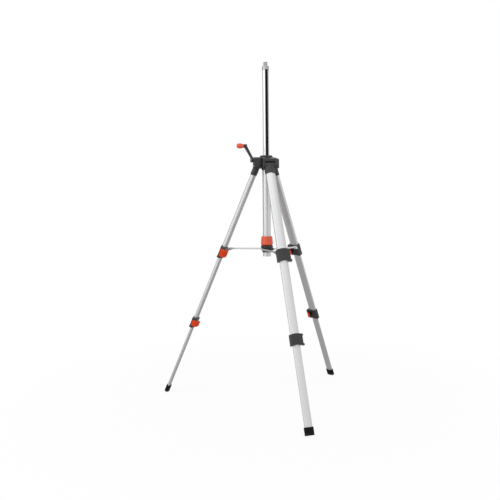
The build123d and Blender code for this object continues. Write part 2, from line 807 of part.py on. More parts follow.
def make_lever(name, azimuth, top, height, tube_inset):
    """Flip lever: a strip hinged on the collar's pin, along the flank and curled round the back corner."""
    side = tube_width / 2 - tube_inset + collar_side
    pin_x = side + lever_pin_out
    start = top + top_flange + part_gap
    length = height - top_flange - low_flange - 2 * part_gap
    with BuildPart() as lever:
        with BuildSketch(leg_plane(azimuth, start)):
            with BuildLine():
                run = Line((pin_x, lever_pin_front), (pin_x, lever_pin_front - lever_run))
                curl = JernArc(run @ 1, run % 1, lever_curl_radius, -lever_curl)
                tail = PolarLine(curl @ 1, lever_tail, direction=curl % 1)
            trace(line_width=2 * lever_half)
            with Locations(run @ 0, tail @ 1):
                Circle(lever_half)
        extrude(amount=length)
        corner_y = (tail @ 1).Y - lever_half
        corner_z = start + length
        with BuildSketch(flank_plane(azimuth, side - lever_curl_radius - lever_tail)):
            with BuildLine():
                Polyline(
                    (corner_y, corner_z),
                    (corner_y + lever_bevel, corner_z),
                    (corner_y, corner_z - lever_bevel),
                    close=True,
                )
            make_face()
        extrude(amount=2 * (lever_curl_radius + lever_tail), mode=Mode.SUBTRACT)
        ends = lever.faces().sort_by(Axis((0, 0, 0), down_leg(azimuth)))
        fillet(ends[0].edges() + ends[-1].edges(), lever_round)
        with BuildSketch(leg_plane(azimuth, start)):
            with Locations((pin_x, lever_pin_front)):
                Circle(lever_pin_radius + running_gap)
        extrude(amount=length, mode=Mode.SUBTRACT)
    save(lever, name)


def make_bracket(name, azimuth):
    """Angle bracket on the upper collar's back: a foot against the collar and an ear beside the strut."""
    back = tube_depth / 2 + collar_wall
    with BuildPart() as bracket:
        with BuildSketch(flank_plane(azimuth, -flank)):
            with Locations((-strut_eye_inset, eye_along)):
                Circle(bracket_eye)
            with Locations((-back, upper_collar_top + bracket_drop)):
                Rectangle(bracket_thickness, bracket_height, align=(Align.MAX, Align.MIN))
            make_hull()
        extrude(amount=bracket_thickness)
        with BuildSketch(leg_plane(azimuth, upper_collar_top + bracket_drop)):
            with Locations((-flank, -back)):
                Rectangle(bracket_width, bracket_thickness, align=(Align.MIN, Align.MAX))
        extrude(amount=bracket_height)
    save(bracket, name)


def make_foot(name, azimuth):
    """Rubber foot over the end of the lower tube, cut flat where it stands on the floor."""
    with BuildPart() as foot:
        with BuildSketch(leg_plane(azimuth, foot_top)):
            add(leg_outline(foot_inset))
        extrude(amount=foot_length)
        fillet(foot.faces().sort_by(Axis.Z)[0].edges(), foot_round)
        with BuildSketch(leg_plane(azimuth, foot_top)):
            add(lower_outer)
        extrude(amount=lower_tube_end - foot_top, mode=Mode.SUBTRACT)
        with BuildSketch():
            Circle(2 * leg_length)
        extrude(amount=-foot_length, mode=Mode.SUBTRACT)
    save(foot, name)


def make_strut(name, azimuth):
    """Flat brace strut beside a leg: eye on the hub's pin, domed rivet at the leg's bracket."""
    with BuildPart() as strut:
        with BuildSketch(radial_plane(azimuth, -strut_inner_face)):
            with Locations((hub_pin_radial, strut_z), (eye_radial, strut_z)):
                Circle(strut_height / 2)
            make_hull()
            with Locations((hub_pin_radial, strut_z)):
                Circle(strut_pin_radius + running_gap, mode=Mode.SUBTRACT)
        extrude(amount=strut_thickness)
        with BuildSketch(radial_plane(azimuth, -strut_outer_face)):
            with Locations((eye_radial, strut_z)):
                Circle(rivet_radius)
        extrude(amount=rivet_cap)
    save(strut, name)


for side_name, azimuth in leg_azimuths.items():
    make_socket(f"{side_name}_leg_socket", azimuth)
    make_tube(f"{side_name}_upper_tube", azimuth, upper_outer, upper_inner, tube_seat, upper_tube_end)
    make_collar(f"{side_name}_upper_collar", azimuth, upper_collar_top, upper_collar_height, 0, middle_inset)
    make_lever(f"{side_name}_upper_lever", azimuth, upper_collar_top, upper_collar_height, 0)
    make_tube(
        f"{side_name}_middle_tube", azimuth, middle_outer, middle_inner, middle_tube_top, middle_tube_end
    )
    make_shoe(f"{side_name}_middle_shoe", azimuth, tube_wall, middle_inset + tube_wall, middle_tube_top)
    make_collar(
        f"{side_name}_lower_collar",
        azimuth,
        lower_collar_top,
        lower_collar_height,
        middle_inset,
        lower_inset,
    )
    make_lever(f"{side_name}_lower_lever", azimuth, lower_collar_top, lower_collar_height, middle_inset)
    make_tube(f"{side_name}_lower_tube", azimuth, lower_outer, lower_inner, lower_tube_top, lower_tube_end)
    make_shoe(
        f"{side_name}_lower_shoe", azimuth, middle_inset + tube_wall, lower_inset + tube_wall, lower_tube_top
    )
    make_foot(f"{side_name}_foot", azimuth)
    make_bracket(f"{side_name}_strut_bracket", azimuth)
    make_strut(f"{side_name}_strut", azimuth)

# Brace hub: flange, core with three lugs, foot ring and a slit neck that the nut squeezes on the sleeve
with BuildPart() as brace_hub:
    with BuildSketch(Plane.XY.offset(strut_z - hub_foot)):
        Circle(hub_core)
    extrude(amount=hub_foot + hub_flange_high)
    with BuildSketch(Plane.XY.offset(strut_z + hub_flange_low)):
        Circle(hub_radius)
    extrude(amount=hub_flange_high - hub_flange_low)
    chamfer(brace_hub.edges().filter_by(GeomType.CIRCLE).group_by(SortBy.RADIUS)[-1], hub_bevel)
    for azimuth in leg_azimuths.values():
        with BuildSketch(radial_plane(azimuth, -flank)):
            with Locations((0, strut_z), (hub_pin_radial, strut_z)):
                Circle(lug_radius)
            make_hull()
        extrude(amount=-(flank - hub_core / 2))
    with BuildSketch(Plane.XY.offset(strut_z + hub_flange_high)):
        Circle(neck_radius)
    extrude(amount=neck_height)
    with BuildSketch(Plane.XY.offset(strut_z + hub_flange_high + neck_slit_width)):
        for number in range(neck_slits // 2):
            Rectangle(2 * hub_radius, neck_slit_width, rotation=number * 360 / neck_slits)
    extrude(amount=neck_height, mode=Mode.SUBTRACT)
    with BuildSketch(Plane.XY.offset(strut_z - hub_foot)):
        Circle(sleeve_radius + hub_gap)
    extrude(amount=hub_foot + hub_flange_high + neck_height, mode=Mode.SUBTRACT)
    for azimuth in leg_azimuths.values():
        with BuildSketch(radial_plane(azimuth, -flank)):
            with Locations((hub_pin_radial, strut_z)):
                Circle(strut_pin_radius)
        extrude(amount=-hub_pin_depth, mode=Mode.SUBTRACT)
save(brace_hub, "brace_hub")

with BuildPart() as hub_pins:
    for azimuth in leg_azimuths.values():
        with BuildSketch(radial_plane(azimuth, -flank)):
            with Locations((hub_pin_radial, strut_z)):
                Circle(strut_pin_radius)
        extrude(amount=-hub_pin_depth)
        with BuildSketch(radial_plane(azimuth, -flank)):
            with Locations((hub_pin_radial, strut_z)):
                Circle(strut_pin_radius)
        extrude(amount=strut_thickness + 2 * part_gap)
        with BuildSketch(radial_plane(azimuth, -strut_outer_face - part_gap)):
            with Locations((hub_pin_radial, strut_z)):
                Circle(rivet_radius)
        extrude(amount=rivet_cap)
save(hub_pins, "hub_pins")

# Clamp nut round the hub's neck, fluted for grip
with BuildPart() as lock_nut:
    nut_bottom = strut_z + hub_flange_high + part_gap
    nut_top = nut_bottom + nut_height
    neck_top = strut_z + hub_flange_high + neck_height + part_gap
    with BuildSketch(Plane.XZ):
        with BuildLine():
            Polyline(
                (neck_radius + hub_gap, nut_bottom),
                (nut_radius - nut_bevel / 2, nut_bottom),
                (nut_radius, nut_bottom + nut_bevel),
                (nut_top_radius, nut_top - nut_bevel),
                (nut_top_radius - nut_bevel, nut_top),
                (sleeve_radius + hub_gap, nut_top),
                (sleeve_radius + hub_gap, neck_top),
                (neck_radius + hub_gap, neck_top),
                close=True,
            )
        make_face()
    revolve(axis=Axis.Z)
    with BuildSketch(Plane.XY.offset(nut_bottom + nut_bevel)):
        with PolarLocations(nut_radius + nut_flute_radius - nut_flute_depth, nut_flutes):
            Circle(nut_flute_radius)
    extrude(amount=nut_height - 2 * nut_bevel, mode=Mode.SUBTRACT)
save(lock_nut, "lock_nut")
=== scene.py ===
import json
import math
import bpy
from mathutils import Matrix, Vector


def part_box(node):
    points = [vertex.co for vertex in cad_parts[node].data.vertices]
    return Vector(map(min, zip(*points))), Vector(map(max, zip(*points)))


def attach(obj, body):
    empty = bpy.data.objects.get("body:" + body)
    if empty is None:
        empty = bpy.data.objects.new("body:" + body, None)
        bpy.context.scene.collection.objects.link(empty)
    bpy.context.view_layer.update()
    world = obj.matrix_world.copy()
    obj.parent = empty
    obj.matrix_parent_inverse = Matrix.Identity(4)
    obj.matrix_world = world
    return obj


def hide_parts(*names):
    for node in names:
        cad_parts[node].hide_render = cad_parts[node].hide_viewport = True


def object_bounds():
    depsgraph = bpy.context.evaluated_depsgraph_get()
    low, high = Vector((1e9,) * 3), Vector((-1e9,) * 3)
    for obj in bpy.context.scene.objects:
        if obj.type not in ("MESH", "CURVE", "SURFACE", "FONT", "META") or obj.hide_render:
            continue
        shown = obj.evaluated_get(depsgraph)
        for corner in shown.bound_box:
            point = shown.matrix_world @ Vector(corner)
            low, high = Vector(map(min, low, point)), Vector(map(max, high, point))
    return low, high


bl_info = {
    "name": "Laser Level Tripod",
    "version": (1, 0, 0),
    "blender": (4, 5, 0),
    "location": "3D View > Sidebar > Tripod",
    "description": "Finishes, moulded details and a studio stage for the packed tripod",
    "category": "Object",
}

import bpy
import numpy as np
from bpy.props import FloatProperty, FloatVectorProperty, IntProperty, PointerProperty
from bpy.types import Operator, Panel, PropertyGroup
from mathutils import Euler, Matrix

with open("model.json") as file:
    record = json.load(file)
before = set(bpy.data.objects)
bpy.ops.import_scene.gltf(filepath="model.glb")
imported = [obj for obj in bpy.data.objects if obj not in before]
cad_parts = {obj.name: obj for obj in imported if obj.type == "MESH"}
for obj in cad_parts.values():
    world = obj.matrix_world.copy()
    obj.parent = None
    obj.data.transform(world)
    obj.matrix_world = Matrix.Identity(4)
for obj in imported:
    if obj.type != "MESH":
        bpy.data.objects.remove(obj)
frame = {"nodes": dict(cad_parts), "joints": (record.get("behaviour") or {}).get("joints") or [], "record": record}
cad_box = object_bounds()
nodes = frame["nodes"]
joints = {joint["name"]: joint for joint in frame["joints"]}
mounts = {mount["name"]: mount for mount in frame["record"]["mounts"]}
body_of_node = {
    node: body for body, members in frame["record"]["behaviour"]["bodies"].items() for node in members
}
slot_of_node = {entry["node"]: entry["material_slot"] for entry in frame["record"]["subparts"]}

SIDES = ("front", "right", "left")
LEVELS = ("upper", "lower")

# The lever solids' own sizes: half thickness, straight run, curl round the collar's corner, tail and tip bevel
LEVER_HALF = 0.0019
LEVER_RUN = 0.0095
LEVER_CURL_RADIUS = 0.009
LEVER_CURL = math.radians(60)
LEVER_TAIL = 0.014
LEVER_BEVEL = 0.007

# How far a lever is rubbed bare along its edges and at its tip, and where along it the tip's wear starts
EDGE_WEAR = 1.2
TIP_WEAR = 0.4
TIP_START = 0.85


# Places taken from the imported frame


def node_points(node):
    """Corner points of a CAD node as an array of rows."""
    mesh = nodes[node].data
    points = np.empty(len(mesh.vertices) * 3)
    mesh.vertices.foreach_get("co", points)
    return points.reshape(-1, 3)


def leg_axes(side):
    """Pivot of a leg and its directions as rows: across it, out of its crowned face and down it."""
    fold = joints[f"{side}_leg_fold"]
    across = np.array(fold["axis"])
    down = -np.array(joints[f"{side}_middle_slide"]["axis"])
    return np.array(fold["pos_m"]), np.stack([across, np.cross(down, across), down])


def into_leg(side, points):
    """Points in a leg's own directions, measured from its pivot."""
    pivot, axes = leg_axes(side)
    return (points - pivot) @ axes.T


def out_of_leg(side, points):
    """Points given in a leg's own directions, back in the tripod's frame."""
    pivot, axes = leg_axes(side)
    return pivot + points @ axes


def leg_box(side, node):
    """Lowest and highest corner of a node in a leg's own directions."""
    local = into_leg(side, node_points(node))
    return local.min(axis=0), local.max(axis=0)


# Surfaces from arrays


def around(count):
    """Angles evenly round a circle."""
    return np.arange(count) * (2 * np.pi / count)


def smooth_step(low, high, values):
    """0 below low, 1 above high, and between them the cubic 3t^2 - 2t^3."""
    t = np.clip((values - low) / (high - low), 0, 1)
    return t * t * (3 - 2 * t)


def corner_cut(profile, rounds):
    """Closed profile with its corners cut: each side keeps its points at one and three quarters, round by round."""
    for _ in range(rounds):
        following = np.roll(profile, -1, axis=0)
        profile = np.stack([0.75 * profile + 0.25 * following, 0.25 * profile + 0.75 * following], axis=1)
        profile = profile.reshape(-1, profile.shape[-1])
    return profile


def turned(profile, origin, axis, count):
    """Profile of (radius, distance along the axis) spun round it: origin + along axis + radius on the circle."""
    axis = np.asarray(axis, float) / np.linalg.norm(axis)
    first = np.cross(axis, np.eye(3)[np.argmin(np.abs(axis))])
    first /= np.linalg.norm(first)
    second = np.cross(axis, first)
    angle = around(count)
    circle = np.cos(angle)[:, None] * first + np.sin(angle)[:, None] * second
    return origin + profile[:, None, 1:2] * axis + profile[:, None, 0:1] * circle


def outline_radius(points, angles):
    """Radius of the outline round flat points: along each angle, the nearest of the lines that touch the outline."""
    grazing = 0.1
    facing = around(720)
    touching = (points @ np.stack([np.cos(facing), np.sin(facing)])).max(axis=0)
    along = np.cos(angles[:, None] - facing)
    return np.where(along > grazing, touching / np.maximum(along, grazing), np.inf).min(axis=1)


def skin(rings, closed_ends=True):
    """Faces between neighbouring rings of points; each end is drawn together in its middle, or the rings meet."""
    rows, columns = rings.shape[:2]
    here = np.arange(columns)
    beside = np.roll(here, -1)
    row = np.arange(rows - 1 if closed_ends else rows)[:, None]
    near, far = row * columns, (row + 1) % rows * columns
    quads = np.stack([near + here, near + beside, far + beside, far + here], axis=-1).reshape(-1, 4)
    points = rings.reshape(-1, 3)
    if not closed_ends:
        return points, quads, np.empty((0, 3), int)
    start, end = len(points), len(points) + 1
    points = np.concatenate([points, rings[:1].mean(axis=1), rings[-1:].mean(axis=1)])
    last = (rows - 1) * columns
    fans = np.concatenate(
        [
            np.stack([beside, here, np.full(columns, start)], axis=-1),
            np.stack([last + here, last + beside, np.full(columns, end)], axis=-1),
        ]
    )
    return points, quads, fans


def volume(points, quads, fans):
    """Signed volume inside a skin, as the sum of the corner triple products of its triangles over six."""
    triangles = np.concatenate([quads[:, [0, 1, 2]], quads[:, [0, 2, 3]], fans])
    a, b, c = (points[triangles[:, corner]] for corner in range(3))
    return np.einsum("ij,ij->i", a, np.cross(b, c)).sum() / 6


def make_piece(name, skins, finish, body, replaced=(), wear=None, crease=40.0):
    """Puts one or more skins into a mesh, facing outwards, and hands it to its body and material slot."""
    points, faces, start = [], [], 0
    for corners, quads, fans in skins:
        turn = 1 if volume(corners, quads, fans) > 0 else -1
        faces += (quads[:, ::turn] + start).tolist() + (fans[:, ::turn] + start).tolist()
        points.append(corners)
        start += len(corners)
    mesh = bpy.data.meshes.new(name)
    mesh.from_pydata(np.concatenate(points), [], faces)
    mesh.shade_smooth()
    mesh.set_sharp_from_angle(angle=math.radians(crease))
    if wear is not None:
        mesh.attributes.new("wear", "FLOAT", "POINT").data.foreach_set("value", wear.astype(np.float32))
    mesh.materials.append(finish)
    piece = bpy.data.objects.new(name, mesh)
    bpy.context.scene.collection.objects.link(piece)
    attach(piece, body)
    if replaced:
        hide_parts(*replaced)
    return piece


# Finishes

# Noise scales, in features per metre
MOULDING_CLOUDS = 28.0
TUBE_CLOUDS = 9.0
TURNED_CLOUDS = 60.0
DUST_CLOUDS = 120.0
RUBBER_GRAIN = 1400.0

# Scale of the streaks along drawn metal, as a share of their scale across it
STREAK_STRETCH = 0.012

# Shares of a metal's colour: in the dark clouds of turned metal, and on the column's dull collar
TURNED_SHADE = 0.85
COLLAR_SHADE = 0.7

# Heights of the surface relief, in metres
MOULDED_RELIEF = 0.0002
METAL_RELIEF = 0.0001
RUBBER_RELIEF = 0.0003


class Wire:
    """A socket in a node tree. Arithmetic on wires adds Math nodes, and node() adds any other node."""

    def __init__(self, tree, socket=None):
        self.tree = tree
        self.socket = socket

    def node(self, kind, settings=None, sockets=None, output=0):
        """Adds a node, sets it up, fills its sockets with values or wires, and gives one of its outputs."""
        node = self.tree.nodes.new(kind)
        for name, value in (settings or {}).items():
            setattr(node, name, value)
        for name, value in (sockets or {}).items():
            if isinstance(value, Wire):
                self.tree.links.new(value.socket, node.inputs[name])
            else:
                node.inputs[name].default_value = value
        return Wire(self.tree, node.outputs[output] if node.outputs else None)

    def maths(self, operation, first, second):
        return self.node("ShaderNodeMath", {"operation": operation}, {0: first, 1: second})

    def __add__(self, other):
        return self.maths("ADD", self, other)

    def __sub__(self, other):
        return self.maths("SUBTRACT", self, other)

    def __rsub__(self, other):
        return self.maths("SUBTRACT", other, self)

    def __mul__(self, other):
        return self.maths("MULTIPLY", self, other)

    __radd__ = __add__
    __rmul__ = __mul__


def new_finish(name):
    """A material with an empty node tree, and a wire to start from."""
    material = bpy.data.materials.new(name)
    material.use_nodes = True
    material.node_tree.nodes.clear()
    return material, Wire(material.node_tree)


def noise(wire, coordinates, scale, detail=2.0):
    """Soft noise between 0 and 1, with features about one over scale metres wide."""
    return wire.node("ShaderNodeTexNoise", None, {"Vector": coordinates, "Scale": scale, "Detail": detail})


def blend_colours(wire, factor, first, second):
    """Colour between two colours or colour wires."""
    return wire.node(
        "ShaderNodeMix", {"data_type": "RGBA"}, {0: factor, 6: opaque(first), 7: opaque(second)}, 2
    )


def opaque(colour):
    """A colour with its alpha, or a wire left as it is."""
    return colour if isinstance(colour, Wire) else (*colour, 1.0)


def relief(wire, height, distance, strength=0.4):
    """Normal of a surface raised by the given height times distance, in metres."""
    return wire.node("ShaderNodeBump", None, {"Strength": strength, "Distance": distance, "Height": height})


def shade(wire, **sockets):
    """Ends a material in its Principled shader. Underscores in the names stand for spaces."""
    named = {name.replace("_", " "): value for name, value in sockets.items()}
    surface = wire.node("ShaderNodeBsdfPrincipled", None, named)
    wire.node("ShaderNodeOutputMaterial", None, {"Surface": surface})


def moulded(name, colour, spread, roughness, grain, gloss, worn=None):
    """Moulded plastic: cloudy colour, fine surface grain and, where a worn colour is given, rubbed edges."""
    material, wire = new_finish(name)
    coordinates = wire.node("ShaderNodeTexCoord", None, None, "Object")
    cloud = noise(wire, coordinates, MOULDING_CLOUDS, 3.0)
    speck = noise(wire, coordinates, grain)
    dark = tuple(channel * (1 - spread) for channel in colour)
    light = tuple(min(channel * (1 + spread), 1.0) for channel in colour)
    base = blend_colours(wire, cloud, dark, light)
    rough = roughness - 0.06 + 0.12 * cloud + 0.05 * speck
    if worn:
        rubbed = wire.node("ShaderNodeAttribute", {"attribute_name": "wear"}, None, "Fac")
        base = blend_colours(wire, rubbed * (0.4 + 0.6 * cloud), base, worn)
        rough = rough - 0.1 * rubbed
    shade(
        wire,
        Base_Color=base,
        Roughness=rough,
        Specular_IOR_Level=gloss,
        Normal=relief(wire, speck, MOULDED_RELIEF),
    )
    return material


def drawn_metal(name, colour, spread, roughness, axes, streaks):
    """Drawn or extruded metal: streaks along the third of the given axes, in colour, roughness and relief."""
    material, wire = new_finish(name)
    coordinates = wire.node("ShaderNodeTexCoord", None, None, "Object")
    turn = Matrix(axes.tolist()).to_euler()
    lengthways = wire.node("ShaderNodeMapping", None, {"Vector": coordinates, "Rotation": turn})
    stretched = wire.node("ShaderNodeMapping", None, {"Vector": lengthways, "Scale": (1.0, 1.0, STREAK_STRETCH)})
    streak = noise(wire, stretched, streaks, 4.0)
    cloud = noise(wire, coordinates, TUBE_CLOUDS)
    dark = tuple(channel * (1 - spread) for channel in colour)
    base = blend_colours(wire, 0.65 * streak + 0.35 * cloud, dark, colour)
    shade(
        wire,
        Base_Color=base,
        Metallic=1.0,
        Roughness=roughness - 0.08 + 0.1 * streak + 0.06 * cloud,
        Normal=relief(wire, streak, METAL_RELIEF, strength=0.15),
    )
    return material


def turned_metal(name, colour, roughness, spacing):
    """Lathe-turned or plated metal: fine rings square to the upright axis, with a cloudy sheen."""
    material, wire = new_finish(name)
    coordinates = wire.node("ShaderNodeTexCoord", None, None, "Object")
    rings = wire.node(
        "ShaderNodeTexWave",
        {"bands_direction": "Z"},
        {"Vector": coordinates, "Scale": spacing, "Distortion": 1.0, "Detail": 2.0},
        "Fac",
    )
    cloud = noise(wire, coordinates, TURNED_CLOUDS)
    dark = tuple(channel * TURNED_SHADE for channel in colour)
    shade(
        wire,
        Base_Color=blend_colours(wire, cloud, dark, colour),
        Metallic=1.0,
        Roughness=roughness - 0.05 + 0.06 * cloud + 0.04 * rings,
        Normal=relief(wire, rings, METAL_RELIEF, strength=0.1),
    )
    return material


def foot_rubber(name, colour, dust, dust_height):
    """Dull rubber, dusty where it stands on the floor: dust fades upwards and is broken up by noise."""
    material, wire = new_finish(name)
    coordinates = wire.node("ShaderNodeTexCoord", None, None, "Object")
    height = wire.node("ShaderNodeSeparateXYZ", None, {"Vector": coordinates}, "Z")
    low = wire.node(
        "ShaderNodeMapRange", None, {"Value": height, "From Min": dust_height, "From Max": 0.0}
    )
    speck = noise(wire, coordinates, RUBBER_GRAIN)
    cloud = noise(wire, coordinates, DUST_CLOUDS, 4.0)
    base = blend_colours(wire, low * cloud, colour, dust)
    shade(
        wire,
        Base_Color=base,
        Roughness=0.5 + 0.2 * cloud + 0.15 * low,
        Specular_IOR_Level=0.12,
        Normal=relief(wire, speck, RUBBER_RELIEF),
    )
    return material


def dress(finish, *names):
    """Gives a finish to CAD nodes."""
    for name in names:
        mesh = nodes[name].data
        mesh.materials.clear()
        mesh.materials.append(finish)


class TripodFinishes(PropertyGroup):
    """Colours of the tripod's materials."""

    plastic: FloatVectorProperty(
        name="Black Plastic", description="Mouldings of head, collars and crank", subtype="COLOR",
        default=(0.017, 0.017, 0.018), min=0, max=1,
    )
    # The levers' orange is set darker than the knob and nut's, partly as painted shade on the levers
    orange: FloatVectorProperty(
        name="Orange Plastic", description="Flip levers", subtype="COLOR",
        default=(0.64, 0.047, 0.005), min=0, max=1,
    )
    rubbed_orange: FloatVectorProperty(
        name="Rubbed Orange", description="Edges of the flip levers where fingers rub them", subtype="COLOR",
        default=(0.78, 0.11, 0.03), min=0, max=1,
    )
    # The grips' orange is set brighter than the levers', partly as painted highlight on the knob and nut; their higher
    # gloss is a real finish
    grips: FloatVectorProperty(
        name="Orange Grips", description="Crank knob and clamp nut, in a brighter orange", subtype="COLOR",
        default=(0.78, 0.085, 0.02), min=0, max=1,
    )
    rubber: FloatVectorProperty(
        name="Rubber", description="Feet", subtype="COLOR", default=(0.006, 0.006, 0.0065), min=0, max=1,
    )
    dust: FloatVectorProperty(
        name="Dust", description="Floor dust on the feet", subtype="COLOR",
        default=(0.10, 0.095, 0.09), min=0, max=1,
    )
    aluminium: FloatVectorProperty(
        name="Aluminium", description="Leg tubes and sleeve", subtype="COLOR",
        default=(0.68, 0.68, 0.69), min=0, max=1,
    )
    chrome: FloatVectorProperty(
        name="Chrome", description="Lifting column", subtype="COLOR", default=(0.70, 0.70, 0.71), min=0, max=1,
    )
    steel: FloatVectorProperty(
        name="Plated Steel", description="Stud, crank shaft, hub pins and screws", subtype="COLOR",
        default=(0.60, 0.60, 0.61), min=0, max=1,
    )
    blackened: FloatVectorProperty(
        name="Blackened Steel", description="Pivot pins of the legs", subtype="COLOR",
        default=(0.05, 0.05, 0.052), min=0, max=1,
    )
    rack: FloatVectorProperty(
        name="Black Nylon", description="Rack along the column", subtype="COLOR",
        default=(0.012, 0.012, 0.013), min=0, max=1,
    )
    nylon: FloatVectorProperty(
        name="Nylon", description="Shoes, bush and pinion", subtype="COLOR",
        default=(0.62, 0.60, 0.55), min=0, max=1,
    )


class TripodDetails(PropertyGroup):
    """Sizes of the details that the solids leave plain."""

    thread_pitch: FloatProperty(
        name="Thread Pitch", description="Rise of the stud's thread in one turn", unit="LENGTH",
        default=0.0254 / 11, min=0.001, max=0.004,
    )
    flute_count: IntProperty(name="Nut Flutes", description="Grip flutes round the nut", default=14, min=6, max=40)
    flute_depth: FloatProperty(
        name="Flute Depth", description="Depth of the nut's grip flutes", unit="LENGTH",
        default=0.0009, min=0, max=0.003,
    )
    lever_ribs: IntProperty(name="Lever Ribs", description="Finger ribs on each lever", default=4, min=0, max=8)
    lever_rib_height: FloatProperty(
        name="Rib Height", description="Height of the finger ribs", unit="LENGTH", default=0.0004, min=0, max=0.002,
    )
    foot_grooves: IntProperty(name="Foot Grooves", description="Grooves round each foot", default=3, min=0, max=6)
    foot_groove_depth: FloatProperty(
        name="Groove Depth", description="Depth of the grooves round the feet", unit="LENGTH",
        default=0.0005, min=0, max=0.002,
    )


class TripodStage(PropertyGroup):
    """Camera, light and floor."""

    camera_place: FloatVectorProperty(
        name="Camera", description="Where the camera stands", subtype="TRANSLATION", unit="LENGTH",
        default=(-0.7433, -2.2113, 0.7609),
    )
    camera_pitch: FloatProperty(
        name="Pitch", description="Camera tilt below the horizon", unit="ROTATION", default=math.radians(4.31),
    )
    camera_heading: FloatProperty(
        name="Heading", description="Camera turn clockwise from the tripod's back", unit="ROTATION",
        default=math.radians(16.96),
    )
    camera_roll: FloatProperty(
        name="Roll", description="Camera roll, clockwise from behind it", unit="ROTATION", default=math.radians(0.62),
    )
    lens: FloatProperty(name="Lens", description="Focal length", unit="CAMERA", default=43.35)
    key_power: FloatProperty(name="Key Light", description="Power of the side light", unit="POWER", default=26.0)
    top_power: FloatProperty(name="Top Light", description="Power of the light overhead", unit="POWER", default=24.0)
    ambient: FloatProperty(name="Ambient", description="Level of the room's light", default=0.7, min=0, max=2)
    # Greys of the glowing cards that paint shade into the metal's reflections, one behind the tripod and one under it
    back_shade_card: FloatProperty(name="Back Card", description="Grey of the card behind the tripod", default=0.52)
    floor_shade_card: FloatProperty(name="Floor Card", description="Grey of the card under the tripod", default=0.47)
    floor_size: FloatProperty(name="Floor", description="Side of the floor", unit="LENGTH", default=30.0)
    floor_plainness: FloatProperty(
        name="Floor Plainness", description="How far the floor is plain white, without the shadow", default=0.9,
    )


class TRIPOD_OT_tubes(Operator):
    """Gives the leg tubes, the sleeve and the struts their drawn aluminium"""

    bl_idname = "tripod.tubes"
    bl_label = "Aluminium Tubes"

    def execute(self, context):
        colour = tuple(context.scene.tripod_finishes.aluminium)
        for side in SIDES:
            axes = leg_axes(side)[1]
            finish = drawn_metal(
                f"{side} satin aluminium", colour, spread=0.08, roughness=0.47, axes=axes, streaks=260.0
            )
            dress(finish, f"{side}_upper_tube", f"{side}_middle_tube", f"{side}_lower_tube")
            level = np.stack([axes[0], np.cross(axes[0], (0, 0, 1)), np.cross((0, 0, 1), axes[0])])
            strut = drawn_metal(
                f"{side} strut aluminium", colour, spread=0.16, roughness=0.4, axes=level, streaks=420.0
            )
            dress(strut, f"{side}_strut", f"{side}_strut_bracket")
        sleeve = drawn_metal("sleeve aluminium", colour, spread=0.08, roughness=0.44, axes=np.eye(3), streaks=260.0)
        dress(sleeve, "sleeve_tube")
        return {"FINISHED"}


class TRIPOD_OT_column(Operator):
    """Plates the column, blackens its rack and cuts the stud's thread"""

    bl_idname = "tripod.column"
    bl_label = "Column and Stud"

    def execute(self, context):
        finishes, details = context.scene.tripod_finishes, context.scene.tripod_details
        chrome = drawn_metal(
            "chrome column", tuple(finishes.chrome), spread=0.06, roughness=0.16, axes=np.eye(3), streaks=300.0
        )
        dress(chrome, "column_tube")
        rack = moulded("rack nylon", tuple(finishes.rack), spread=0.2, roughness=0.4, grain=1800.0, gloss=0.25)
        dress(rack, "column_rack")
        dull = tuple(COLLAR_SHADE * channel for channel in finishes.aluminium)
        dress(turned_metal("turned aluminium", dull, roughness=0.42, spacing=1500.0), "column_collar")
        steel = turned_metal("stud steel", tuple(finishes.steel), roughness=0.3, spacing=1200.0)
        make_piece(
            "threaded_stud", [skin(stud_rings(details.thread_pitch))], steel, "column", ["stud"]
        )
        return {"FINISHED"}


# Shares of the thread's pitch: its depth, and its flat root and sloping flanks
THREAD_DEPTH = 0.6134
THREAD_ROOT = 0.12
THREAD_FLANKS = 0.72


def stud_rings(pitch):
    """Right-hand thread: radius = root + depth x a trapezium wave of (height / pitch - angle / full turn).

    The crest is cut back along a cone beyond the mount's length, and the wave fades out towards the seat.
    """
    rows, columns = 113, 48
    radius = mounts["stud"]["dims"]["r_mm"] / 1000
    length = mounts["stud"]["dims"]["length_mm"] / 1000
    seat = mounts["stud"]["pos_m"][2]
    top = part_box("stud")[1].z
    depth = THREAD_DEPTH * pitch
    height = np.linspace(0, top - seat, rows)[:, None]
    angle = around(columns)[None, :]
    phase = (height / pitch - angle / (2 * np.pi)) % 1
    wave = np.clip((np.abs(2 * phase - 1) - THREAD_ROOT) / THREAD_FLANKS, 0, 1) * smooth_step(0, pitch / 2, height)
    crest = radius - np.clip(height - length, 0, None)
    spread = np.minimum(radius - depth + depth * wave, crest)
    rings = np.stack(
        [spread * np.cos(angle), spread * np.sin(angle), np.broadcast_to(seat + height, spread.shape)], axis=-1
    )
    buried = rings[:1] - (0, 0, pitch)
    return np.concatenate([buried, rings])


class TRIPOD_OT_mouldings(Operator):
    """Gives the black mouldings and the nylon pieces their grain"""

    bl_idname = "tripod.mouldings"
    bl_label = "Black Mouldings"

    def execute(self, context):
        finishes = context.scene.tripod_finishes
        black = moulded(
            "black plastic", tuple(finishes.plastic), spread=0.18, roughness=0.26, grain=1600.0, gloss=0.5
        )
        nylon = moulded("natural nylon", tuple(finishes.nylon), spread=0.08, roughness=0.5, grain=1200.0, gloss=0.5)
        dress(black, *(node for node, slot in slot_of_node.items() if slot == "black_plastic"))
        dress(nylon, *(node for node, slot in slot_of_node.items() if slot == "natural_nylon"))
        return {"FINISHED"}


